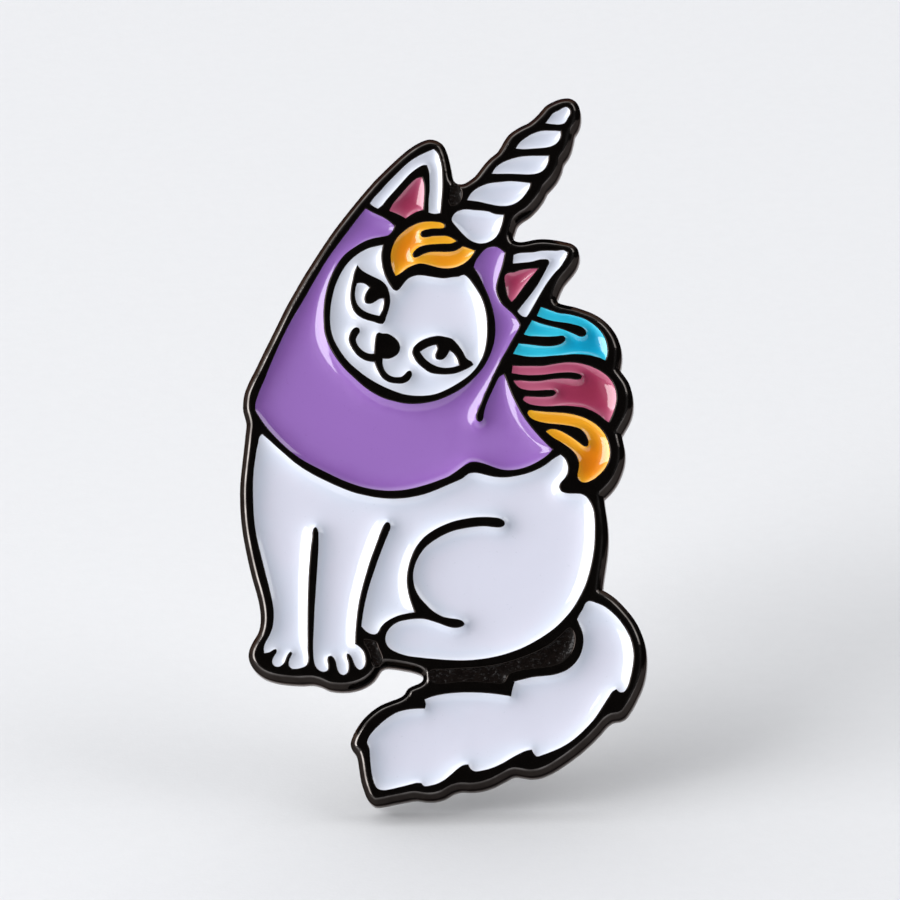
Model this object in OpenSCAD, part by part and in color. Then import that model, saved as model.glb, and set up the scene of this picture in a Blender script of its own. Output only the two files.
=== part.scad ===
// Enamel pin: a seated cat in a horned hood, with two posts and two butterfly clutches.
// Millimetres. The face looks along -Y, +Z runs up the pin, the back of the plate lies on y = 0.
// The origin is on the back, halfway between the two posts.

/* [Plate] */
// Thickness of the struck plate
plate_thickness = 1.6; // [1.2:0.1:2.2]
// Depth of the recessed cells below the raised lines
recess_depth = 0.45; // [0.3:0.05:0.7]
// Depth of enamel in a cell
enamel_depth = 0.3; // [0.15:0.05:0.6]
// Depth of the black paint in the gaps of the outline
web_depth = 0.2; // [0.1:0.05:0.4]

/* [Posts] */
// Distance of the upper post above the origin, and of the lower post below it
post_rise = 5.9; // [5.9:0.1:7]
// Distance of the upper post to the left of the origin, and of the lower post to the right of it
post_offset = 1.25; // [0:0.05:2]
// Radius of a post
post_radius = 0.55; // [0.45:0.05:0.7]
// Length of a post from the back of the plate to its point
post_length = 8; // [7:0.5:10]
// Radius of the neck of the groove that the clutch snaps into
groove_radius = 0.38; // [0.3:0.02:0.38]
// Radius of the solder round the foot of a post
solder_radius = 1.5; // [1.2:0.1:2]

/* [Clutches] */
// Room for the cloth between the plate and each clutch
cloth_gap = 2.5; // [2.1:0.1:3]
// Radius of a clutch
clutch_radius = 5.7; // [5:0.1:5.8]
// Thickness of the pressed sheet of the cup
cup_sheet = 0.4; // [0.3:0.05:0.5]
// Width of a wing
wing_width = 4.8; // [4:0.2:5]
// Thickness of the spring strip
strip_thickness = 0.35; // [0.25:0.05:0.4]

/* [Hidden] */
$fn = 72;
step = 0.25;
dimple = 0.15;
floor_y = -(plate_thickness - recess_depth);
groove_end = post_length - 2;
groove_start = groove_end - 0.6;
cone_start = post_length - 0.8;
jaw_radius = post_radius + 0.03;
cover_top = 1.75;

// A closed smooth line through hand-placed points [x, z]. A third number marks a corner.
function at(p) = [p[0], p[1]];
function slope(a, b, c) = let (d = norm(b - a), e = norm(c - b)) ((b - a) / d * e + (c - b) / e * d) / (d + e);
function hermite(a, b, u, v, t) =
  a * (2 * t * t * t - 3 * t * t + 1) + u * (t * t * t - 2 * t * t + t)
  + b * (3 * t * t - 2 * t * t * t) + v * (t * t * t - t * t);
function span(p, a, b, q, sharp_a, sharp_b) =
  let (d = norm(b - a), chord = (b - a) / d,
       u = sharp_a ? chord : slope(p, a, b), v = sharp_b ? chord : slope(a, b, q),
       m = sharp_a && !sharp_b ? 1.5 * chord - 0.5 * v : u,
       n = sharp_b && !sharp_a ? 1.5 * chord - 0.5 * u : v,
       k = sharp_a && sharp_b ? 1 : max(2, ceil(d / step)))
  [for (j = [0 : k - 1]) hermite(a, b, m * d, n * d, j / k)];
function loop(pts) = let (n = len(pts)) [for (i = [0 : n - 1])
  each span(at(pts[(i + n - 1) % n]), at(pts[i]), at(pts[(i + 1) % n]), at(pts[(i + 2) % n]),
            len(pts[i]) > 2, len(pts[(i + 1) % n]) > 2)];

// A strip of constant thickness along an open path of points.
function side(path, i, w) = let (a = path[max(i - 1, 0)], b = path[min(i + 1, len(path) - 1)],
  d = (b - a) / norm(b - a)) path[i] + [-d[1], d[0]] * w;
function strip(path, w) = concat([for (i = [0 : len(path) - 1]) side(path, i, w / 2)],
  [for (i = [len(path) - 1 : -1 : 0]) side(path, i, -w / 2)]);
function arc(c, r, a, b, k = 6) = [for (i = [0 : k]) let (t = a + (b - a) * i / k) c + r * [cos(t), sin(t)]];

// Outline of the whole plate, clockwise from the tip of the left ear.
outline = [[-1.1, 15.08], [-0.75, 15.17], [-0.4, 15.1], [-0.08, 14.88], [0.12, 14.5], [0.25, 14], [0.35, 13.5],
  [0.43, 13.12], [0.57, 12.92], [0.8, 12.85], [1, 12.88], [1.25, 13.02], [1.52, 13.22], [1.75, 13.5],
  [2, 13.83], [2.3, 14.15], [2.68, 14.47], [2.86, 14.75], [3, 15], [3.25, 15.35], [3.55, 15.58], [3.9, 15.78],
  [4.25, 15.95], [4.5, 16.15], [4.8, 16.45], [5.08, 16.77], [5.5, 17.02], [6, 17.17], [6.3, 17.17],
  [6.6, 17.02], [6.78, 16.75], [6.85, 16.3], [6.8, 15.92], [6.7, 15.65], [6.55, 15.4], [6.48, 15.1],
  [6.37, 14.65], [6.2, 14.27], [5.98, 13.95], [5.88, 13.6], [5.75, 13.28], [5.55, 12.95], [5.32, 12.68],
  [5.13, 12.47], [5, 12.2], [4.75, 11.82], [4.5, 11.53], [4.2, 11.25], [3.87, 11.05], [3.65, 10.83],
  [3.52, 10.5], [3.44, 10.15], [3.5, 9.95], [3.75, 9.85], [4.1, 9.87], [4.5, 9.95], [5, 9.98], [5.5, 9.93],
  [6, 9.83], [6.5, 9.66], [6.7, 9.45], [6.76, 9.15], [6.7, 8.8], [6.5, 8.4], [6.2, 8.03], [6, 7.78],
  [5.82, 7.45], [5.7, 7.15], [5.64, 6.92], [5.7, 6.75], [6, 6.62], [6.5, 6.5], [7, 6.33], [7.5, 6.12],
  [7.95, 5.83], [8.4, 5.37], [8.7, 4.87], [8.85, 4.4], [8.88, 3.9], [8.83, 3.5], [8.79, 3.25, 1],
  [9, 2.97], [9.25, 2.58], [9.4, 2.1], [9.45, 1.6], [9.39, 1.1], [9.2, 0.6], [9, 0.25], [8.86, 0, 1],
  [8.95, -0.4], [9.03, -0.9], [9, -1.4], [8.85, -1.92], [8.6, -2.45], [8.3, -2.85], [7.97, -3.17, 1],
  [8.02, -3.6], [8.11, -4.2], [8.17, -4.8], [8.18, -5.4], [8.12, -6.1], [8.02, -6.8], [7.93, -7.4],
  [7.88, -7.88, 1], [8.3, -8.13], [8.7, -8.47], [9.1, -8.9], [9.5, -9.42], [9.8, -10], [10, -10.6],
  [10.08, -11.2], [10.05, -11.9], [9.9, -12.6], [9.6, -13.3], [9.25, -13.93], [8.98, -14.27], [8.7, -14.4],
  [8.38, -14.45], [8.12, -14.62], [7.8, -14.98], [7.4, -15.4], [7, -15.77], [6.4, -16.25], [5.8, -16.67],
  [5.2, -17.02], [4.7, -17.2], [4.2, -17.24], [3.8, -17.17], [3.48, -17.13], [3, -17.35], [2.4, -17.65],
  [1.8, -17.83], [1.25, -17.88], [0.8, -17.86], [0.4, -17.97], [0, -18.2], [-0.5, -18.34], [-1, -18.34],
  [-1.45, -18.27], [-2, -18.35], [-2.6, -18.46], [-3.1, -18.56], [-3.5, -18.58], [-3.8, -18.35],
  [-4, -17.9], [-4.15, -17.4], [-4.25, -16.8], [-4.33, -16.3], [-4.42, -16.05], [-4.6, -15.82],
  [-4.68, -15.55], [-4.6, -15.2], [-4.4, -14.8], [-4.1, -14.35], [-3.7, -13.95], [-3.2, -13.6],
  [-2.6, -13.35], [-2.15, -13.17], [-1.96, -13], [-1.85, -12.8], [-1.58, -12.63], [-1.25, -12.5],
  [-1.08, -12.35], [-1.07, -12.15], [-1.22, -11.98], [-1.55, -11.84], [-2.1, -11.71], [-2.6, -11.63],
  [-3, -11.61], [-3.2, -11.7], [-3.35, -11.93], [-3.52, -12.17], [-3.78, -12.4], [-4.2, -12.62],
  [-4.7, -12.75], [-5.2, -12.78], [-5.8, -12.7], [-6.25, -12.5], [-6.6, -12.41], [-7.2, -12.42],
  [-7.9, -12.37], [-8.5, -12.27], [-9, -12.1], [-9.4, -11.83], [-9.7, -11.43], [-9.8, -11.02],
  [-9.71, -10.6], [-9.52, -10.22], [-9.32, -9.88], [-9.22, -9.5], [-9.2, -9], [-9.26, -8.5], [-9.4, -7.9],
  [-9.6, -7.2], [-9.8, -6.4], [-9.97, -5.6], [-10.1, -4.9], [-10.19, -4.2], [-10.25, -3.3], [-10.25, -2.4],
  [-10.17, -1.5], [-10.07, -0.6], [-9.99, 0.2], [-9.95, 0.75], [-10.02, 1.05], [-10.11, 1.4],
  [-10.12, 1.75], [-10.04, 2.3], [-9.85, 2.8], [-9.5, 3.5], [-9.12, 4.3], [-8.8, 4.95], [-8.4, 5.77],
  [-8, 6.6], [-7.5, 7.5], [-7.1, 8.2], [-6.6, 9], [-6, 9.93], [-5.5, 10.65], [-5, 11.3], [-4.5, 11.93],
  [-4, 12.53], [-3.5, 13.1], [-3, 13.6], [-2.5, 14.08], [-2, 14.52], [-1.5, 14.88]];

ear_left = [[-0.52, 14.6, 1], [-0.35, 14.42], [-0.22, 14.1], [-0.13, 13.7], [-0.1, 13.2], [-0.1, 12.5],
  [-0.15, 11.9], [-0.2, 11.33, 1], [-0.5, 11.3], [-0.77, 11.37, 1], [-0.76, 12], [-0.72, 12.5],
  [-0.72, 13], [-0.76, 13.5], [-0.86, 13.8, 1], [-1.05, 13.8], [-1.3, 13.68], [-1.7, 13.38], [-2.1, 12.95],
  [-2.5, 12.5], [-2.9, 12.05], [-3.12, 11.77], [-3.33, 11.6, 1], [-3.55, 11.72], [-3.72, 11.87, 1],
  [-3.6, 12.05], [-3.2, 12.5], [-2.7, 13.05], [-2.2, 13.55], [-1.7, 14], [-1.3, 14.25], [-0.95, 14.42]];

ear_left_inner = [[-1.12, 13.17, 1], [-1.03, 12.9], [-1, 12.5], [-1.02, 12], [-1.06, 11.5, 1], [-1.3, 11.44],
  [-1.6, 11.3], [-1.93, 11.08, 1], [-2.25, 11.27], [-2.75, 11.48, 1], [-2.56, 11.83], [-2.3, 12.15],
  [-2, 12.5], [-1.65, 12.88], [-1.35, 13.12]];

ear_right = [[3.5, 9.12, 1], [3.72, 9.2], [4.1, 9.23], [4.5, 9.25], [4.85, 9.31], [5.3, 9.32], [5.7, 9.31],
  [6.02, 9.33], [6.2, 9.22, 1], [6.14, 9], [6, 8.74], [5.83, 8.48], [5.6, 8.24], [5.35, 7.94], [5.1, 7.58],
  [4.9, 7.25], [4.7, 6.9], [4.5, 6.55], [4.3, 6.2], [4.15, 5.97, 1], [4, 5.98], [3.7, 6.25, 1],
  [3.86, 6.47], [4.1, 6.77], [4.4, 7.15], [4.65, 7.5], [4.86, 7.85], [5.05, 8.2], [5.2, 8.5], [5.29, 8.7],
  [5.24, 8.86], [5.03, 8.9], [4.72, 8.87], [4.48, 8.8], [4.2, 8.76], [3.85, 8.73], [3.47, 8.7, 1]];

ear_right_inner = [[4.72, 8.42, 1], [4.55, 8.2], [4.3, 7.9], [4.05, 7.58], [3.8, 7.24], [3.55, 6.9],
  [3.4, 6.75, 1], [3.25, 6.95], [3.15, 7.3], [3.08, 7.7], [3.08, 8.1], [3.22, 8.2], [3.5, 8.23],
  [3.8, 8.33], [4.2, 8.4]];

horn_1 = [[6.15, 16.67], [6.3, 16.57], [6.35, 16.35], [6.22, 16.1], [6.07, 15.86], [5.92, 15.8],
  [5.55, 15.8], [5.13, 15.86, 1], [5.3, 16.1], [5.5, 16.35], [5.8, 16.5], [6, 16.62]];
horn_2 = [[3.62, 14.58, 1], [3.8, 14.85], [4.1, 15.1], [4.5, 15.33], [4.9, 15.45], [5.4, 15.46],
  [5.86, 15.43, 1], [5.86, 15.2], [5.78, 14.97], [5.6, 14.78], [5.35, 14.66], [5, 14.6], [4.5, 14.57],
  [4, 14.55]];
horn_3 = [[2.42, 13.31, 1], [2.56, 13.55], [2.8, 13.77], [3.2, 13.97], [3.7, 14.12], [4.3, 14.18],
  [4.9, 14.18], [5.26, 14.18, 1], [5.23, 13.9], [5.14, 13.65], [4.98, 13.44], [4.7, 13.3], [4.3, 13.25],
  [3.8, 13.27], [3.2, 13.3], [2.75, 13.3]];
horn_4 = [[1.18, 11.97, 1], [1.32, 12.25], [1.58, 12.5], [1.9, 12.68], [2.3, 12.81], [2.8, 12.86],
  [3.3, 12.9], [3.75, 12.87], [4.34, 12.79, 1], [4.28, 12.55], [4.15, 12.33], [3.98, 12.1], [3.75, 11.88],
  [3.48, 11.73], [3.1, 11.65], [2.7, 11.67], [2.2, 11.78], [1.7, 11.9]];
horn_5 = [[0.4, 10.97], [0.47, 11.2], [0.7, 11.4], [1, 11.48], [1.5, 11.45], [2, 11.4], [2.27, 11.35],
  [2.5, 11.25], [2.99, 11.19, 1], [2.95, 10.93], [2.86, 10.6], [2.75, 10.3], [2.58, 10.04], [2.35, 9.87],
  [2.08, 9.77], [1.8, 9.75], [1.5, 9.83], [1.2, 10.01], [0.9, 10.3], [0.65, 10.6], [0.48, 10.8]];

hood = [[-3.95, 11.6, 1], [-3.5, 11.35], [-3.1, 11.16], [-2.78, 10.95], [-2.5, 10.7, 1], [-2.62, 10.42],
  [-2.8, 10.24], [-3.1, 10.17], [-3.5, 10.1], [-3.9, 9.98], [-4.45, 9.68], [-5, 9.27], [-5.48, 8.6],
  [-5.8, 7.9], [-5.97, 7.25], [-6.06, 6.5], [-6.06, 5.9], [-6, 5.25], [-5.85, 4.78], [-5.5, 4.1],
  [-5, 3.45], [-4.5, 2.95], [-4, 2.5], [-3.5, 2.15], [-3, 1.9], [-2.5, 1.75], [-2, 1.63], [-1.5, 1.6],
  [-1, 1.63], [-0.5, 1.72], [0, 1.89], [0.5, 2.12], [1, 2.43], [1.5, 2.86], [2, 3.45], [2.3, 4],
  [2.5, 4.6], [2.58, 5.1], [2.58, 5.6], [2.5, 6.2], [2.3, 6.9], [2.05, 7.5], [1.8, 8.05], [1.5, 8.55, 1],
  [1.6, 8.83], [1.85, 9.2], [2.1, 9.45], [2.4, 9.56], [2.65, 9.54], [2.85, 9.42], [3.05, 9.25, 1],
  [2.98, 8.9], [2.88, 8.5], [2.76, 8.15], [2.65, 7.75], [2.6, 7.45], [2.63, 7.2], [2.72, 6.95],
  [2.85, 6.7], [3.03, 6.5], [3.25, 6.3], [3.46, 6.1], [3.62, 5.88], [3.8, 5.56, 1], [3.7, 5.3],
  [3.5, 4.95], [3.3, 4.6], [3.1, 4.23], [2.85, 3.8], [2.6, 3.3], [2.4, 2.9], [2.2, 2.45], [2, 2],
  [1.8, 1.5], [1.65, 1.15], [1.6, 0.88], [1.67, 0.7], [1.8, 0.65], [1.94, 0.74], [2, 1], [2.06, 1.3],
  [2.2, 1.7], [2.4, 2.15], [2.6, 2.58], [2.8, 2.93], [2.99, 3.05, 1], [3.1, 2.8], [3.22, 2.45],
  [3.4, 2], [3.6, 1.57], [3.8, 1.18], [4, 0.85], [4.3, 0.43], [4.65, 0], [5, -0.38], [5.42, -0.8, 1],
  [5.2, -1.05], [4.9, -1.27], [4.5, -1.5], [4, -1.7], [3.5, -1.8], [3, -1.79], [2.5, -1.65], [2, -1.46],
  [1.6, -1.37], [1.33, -1.38], [1, -1.56], [0.6, -1.85], [0.2, -2.1], [-0.3, -2.3], [-1, -2.53],
  [-1.7, -2.7], [-2.4, -2.78], [-3.1, -2.76], [-4, -2.6], [-5, -2.25], [-6, -1.76], [-6.6, -1.45],
  [-7.2, -1.1], [-7.8, -0.63], [-8.4, -0.05], [-8.9, 0.52], [-9.3, 1.1], [-9.46, 1.4], [-9.47, 1.66],
  [-9.37, 2.05], [-9, 2.97], [-8.6, 3.97], [-8.15, 4.98], [-7.65, 5.97], [-7.06, 6.97], [-6.48, 8],
  [-5.9, 8.98], [-5.3, 9.83], [-4.6, 10.76], [-4.25, 11.23]];

face = [[-3.08, 9.73, 1], [-3.15, 9.4], [-3.16, 9], [-3.1, 8.58], [-3, 8.22], [-2.85, 7.9], [-2.67, 7.6],
  [-2.52, 7.42], [-2.38, 7.38], [-2.24, 7.46], [-2.04, 7.72], [-1.8, 7.98], [-1.5, 8.12], [-1.15, 8.15],
  [-0.8, 8.1], [-0.4, 8.03], [0, 7.98], [0.4, 8.03], [0.75, 8.06], [1, 8.14], [1.2, 8], [1.4, 7.74],
  [1.6, 7.44], [1.8, 7.1], [1.95, 6.75], [2.06, 6.35], [2.13, 5.9], [2.15, 5.4], [2.13, 4.9],
  [2.06, 4.42], [1.94, 4], [1.74, 3.6], [1.5, 3.27], [1.2, 2.98], [0.8, 2.7], [0.4, 2.46], [0, 2.26],
  [-0.4, 2.11], [-0.9, 2.03], [-1.5, 2.03], [-2, 2.11], [-2.5, 2.28], [-3, 2.5], [-3.5, 2.77],
  [-4, 3.1], [-4.4, 3.43], [-4.75, 3.75], [-5, 4.05], [-5.3, 4.5], [-5.55, 5], [-5.68, 5.5],
  [-5.72, 6], [-5.69, 6.6], [-5.6, 7.15], [-5.45, 7.7], [-5.2, 8.27], [-4.9, 8.75], [-4.5, 9.15],
  [-4.1, 9.42], [-3.7, 9.6], [-3.38, 9.67]];

eye_left_line = [[-4.35, 8.74, 1], [-4.2, 8.53], [-4, 8.37], [-3.7, 8.2], [-3.4, 8.05], [-3.1, 7.88],
  [-2.86, 7.6], [-2.73, 7.2], [-2.7, 6.8], [-2.78, 6.4], [-2.9, 6.05], [-3.07, 5.7], [-3.22, 5.7],
  [-3.5, 5.8], [-3.98, 5.94], [-4.3, 6.12], [-4.55, 6.4], [-4.68, 6.77], [-4.72, 7.2], [-4.68, 7.6],
  [-4.6, 8], [-4.5, 8.42]];
eye_left = [[-4.37, 7.78, 1], [-4.2, 7.8], [-4, 7.76], [-3.75, 7.57, 1], [-3.86, 7.4], [-3.97, 7.2],
  [-4.01, 7], [-3.96, 6.8], [-3.83, 6.73], [-3.6, 6.76], [-3.4, 6.87], [-3.22, 6.98], [-3.04, 6.99, 1],
  [-3.03, 6.75], [-3.1, 6.42], [-3.25, 6.12, 1], [-3.5, 6.18], [-3.8, 6.28], [-4.1, 6.45], [-4.3, 6.65],
  [-4.43, 6.93], [-4.47, 7.3]];
eye_right_line = [[-1.61, 4.25], [-1.56, 4.43], [-1.38, 4.66], [-1.08, 4.86], [-0.7, 5], [-0.3, 5.06],
  [0.08, 5], [0.4, 4.9], [0.6, 4.72], [0.83, 4.42], [1, 4.15], [1.1, 3.94], [1.22, 3.82], [1.37, 3.74],
  [1.48, 3.55, 1], [1.3, 3.43], [1, 3.28], [0.6, 3.13], [0.2, 3.08], [-0.3, 3.1], [-0.7, 3.18],
  [-1, 3.38], [-1.3, 3.65], [-1.52, 3.97]];
eye_right = [[-1.2, 4.25, 1], [-1, 4.38], [-0.7, 4.52], [-0.4, 4.6, 1], [-0.34, 4.4], [-0.42, 4.17],
  [-0.45, 4], [-0.37, 3.87], [-0.2, 3.82], [-0.02, 3.86], [0.12, 4], [0.28, 4.28, 1], [0.42, 4.2],
  [0.56, 4.04], [0.68, 3.8], [0.75, 3.54, 1], [0.4, 3.45], [0, 3.43], [-0.3, 3.49], [-0.6, 3.63],
  [-0.9, 3.86]];
muzzle = [[-3.27, 5.27], [-3.1, 5.22], [-2.85, 5.21], [-2.55, 5.05], [-2.3, 4.8], [-2.2, 4.5],
  [-2.28, 4.2], [-2.47, 4.03], [-2.75, 3.92], [-3.07, 3.93, 1], [-3.08, 3.7], [-3, 3.4], [-2.84, 3.17],
  [-2.6, 3.02], [-2.35, 2.98], [-2.12, 3.01], [-1.95, 3.15], [-1.8, 3.29], [-1.67, 3.3], [-1.6, 3.17],
  [-1.64, 2.97], [-1.78, 2.78], [-2.02, 2.66], [-2.4, 2.65], [-2.78, 2.73], [-3.1, 2.95], [-3.3, 3.25],
  [-3.42, 3.52], [-3.5, 3.76, 1], [-3.9, 3.83], [-4.28, 4.05], [-4.56, 4.37], [-4.74, 4.7],
  [-4.8, 4.95], [-4.72, 5.25], [-4.56, 5.48], [-4.4, 5.55], [-4.26, 5.49], [-4.23, 5.3], [-4.34, 5.12],
  [-4.42, 4.93], [-4.36, 4.7], [-4.2, 4.47], [-3.98, 4.29], [-3.75, 4.2], [-3.52, 4.19, 1],
  [-3.5, 4.55], [-3.46, 4.95], [-3.4, 5.18]];

forelock = [[-2.42, 8.15, 1], [-2.56, 8.45], [-2.65, 8.8], [-2.67, 9.2], [-2.59, 9.6], [-2.4, 10],
  [-2.15, 10.3], [-1.9, 10.5], [-1.58, 10.7], [-1.2, 10.84], [-0.8, 10.89], [-0.4, 10.87], [-0.1, 10.81],
  [0.02, 10.7], [0, 10.59], [-0.15, 10.55], [-0.5, 10.55], [-0.88, 10.5], [-1.13, 10.4], [-1.2, 10.24],
  [-1.1, 10.11], [-0.9, 10.09], [-0.6, 10.14], [-0.2, 10.15], [0.18, 10.13], [0.4, 10.03], [0.62, 9.88, 1],
  [0.4, 9.78], [0, 9.76], [-0.4, 9.75], [-0.8, 9.72], [-1.2, 9.63], [-1.5, 9.4], [-1.6, 9.2],
  [-1.51, 9.07], [-1.34, 9.08], [-1.1, 9.2], [-0.8, 9.31], [-0.4, 9.34], [0.1, 9.33], [0.5, 9.36],
  [0.95, 9.6, 1], [1.2, 9.51], [1.54, 9.38, 1], [1.4, 9.12], [1.17, 8.87], [0.9, 8.68], [0.6, 8.56],
  [0.2, 8.5], [-0.2, 8.53], [-0.6, 8.64], [-1, 8.75], [-1.2, 8.77], [-1.5, 8.7], [-1.87, 8.52],
  [-2.17, 8.3]];

mane_teal = [[4.87, 6.45, 1], [5.3, 6.29], [5.8, 6.12], [6.2, 6.07], [6.7, 5.94], [7.1, 5.79],
  [7.4, 5.6], [7.7, 5.35], [7.95, 5.03], [8.11, 4.68], [8.18, 4.3], [8.17, 3.95], [8.08, 3.7, 1],
  [7.88, 3.81], [7.6, 3.9], [7.3, 3.98], [6.9, 4.03], [6.4, 4.04], [6, 4.01], [5.4, 3.97], [4.8, 3.93],
  [4.2, 3.95], [3.8, 4.02], [3.48, 4.1, 1], [3.6, 4.33], [3.75, 4.6, 1], [4.1, 4.57], [4.6, 4.5],
  [5.1, 4.45], [5.5, 4.46], [5.85, 4.55], [6.07, 4.71], [6.1, 4.87], [5.98, 4.98], [5.7, 4.97],
  [5.2, 4.95], [4.6, 4.98], [4.25, 5], [4.02, 5.08, 1], [4.15, 5.3], [4.42, 5.78, 1], [4.8, 5.63],
  [5.3, 5.48], [5.8, 5.35], [6.2, 5.2], [6.6, 5.02], [6.87, 4.91], [7.05, 4.94], [7.15, 5.08],
  [7.1, 5.26], [6.93, 5.41], [6.6, 5.53], [6.2, 5.63], [5.8, 5.69], [5.4, 5.76], [5, 5.88],
  [4.67, 6.01, 1]];

mane_pink = [[3.45, 3.48, 1], [3.8, 3.46], [4.4, 3.45], [5, 3.45], [5.5, 3.53], [6, 3.6], [6.5, 3.6],
  [7, 3.51], [7.5, 3.33], [8, 3.04], [8.35, 2.7], [8.55, 2.3], [8.63, 1.9], [8.6, 1.5], [8.5, 1.13],
  [8.37, 0.8], [8.25, 0.55, 1], [8.1, 0.66], [7.9, 0.84], [7.6, 1.05], [7.3, 1.2], [7, 1.32], [6.6, 1.38],
  [6.2, 1.42], [5.8, 1.43], [5.3, 1.41], [4.8, 1.43], [4.4, 1.5], [4.12, 1.62], [3.97, 1.77],
  [4.05, 1.89], [4.3, 1.89], [4.8, 1.87], [5.2, 1.88], [5.5, 1.94], [5.62, 2.07], [5.54, 2.2],
  [5.3, 2.24], [4.9, 2.23], [4.5, 2.22], [4.1, 2.26], [3.8, 2.36], [3.62, 2.53], [3.5, 2.72, 1],
  [3.85, 2.72], [4.3, 2.68], [4.8, 2.68], [5.3, 2.75], [5.8, 2.79], [6.3, 2.78], [6.68, 2.73],
  [6.88, 2.78], [6.93, 2.9], [6.8, 3.02], [6.5, 3.1], [6, 3.12], [5.5, 3.08], [5, 3.02], [4.5, 3],
  [4, 3.02], [3.4, 3.12, 1]];

mane_orange = [[4.27, 1.2], [4.5, 1.18], [5, 1.12], [5.6, 1.08], [6.1, 1.03], [6.6, 0.93], [7.1, 0.75],
  [7.5, 0.52], [7.85, 0.21], [8.1, -0.17], [8.25, -0.6], [8.3, -1.02], [8.22, -1.45], [8, -1.85],
  [7.7, -2.16], [7.4, -2.37], [7.08, -2.48], [6.85, -2.43], [6.71, -2.25], [6.71, -1.98], [6.77, -1.67],
  [6.74, -1.35], [6.6, -1.05], [6.38, -0.8], [6.1, -0.58], [5.8, -0.38], [5.5, -0.2], [5.12, 0.12, 1],
  [5.3, 0.22], [5.57, 0.22], [5.9, 0.1], [6.2, -0.07], [6.5, -0.27], [6.8, -0.5], [7, -0.65],
  [7.17, -0.67], [7.25, -0.5], [7.2, -0.25], [7.08, 0], [6.87, 0.21], [6.57, 0.34], [6.2, 0.42],
  [5.8, 0.48], [5.4, 0.52], [5, 0.58], [4.65, 0.68], [4.4, 0.8], [4.25, 0.95], [4.2, 1.1]];

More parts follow.
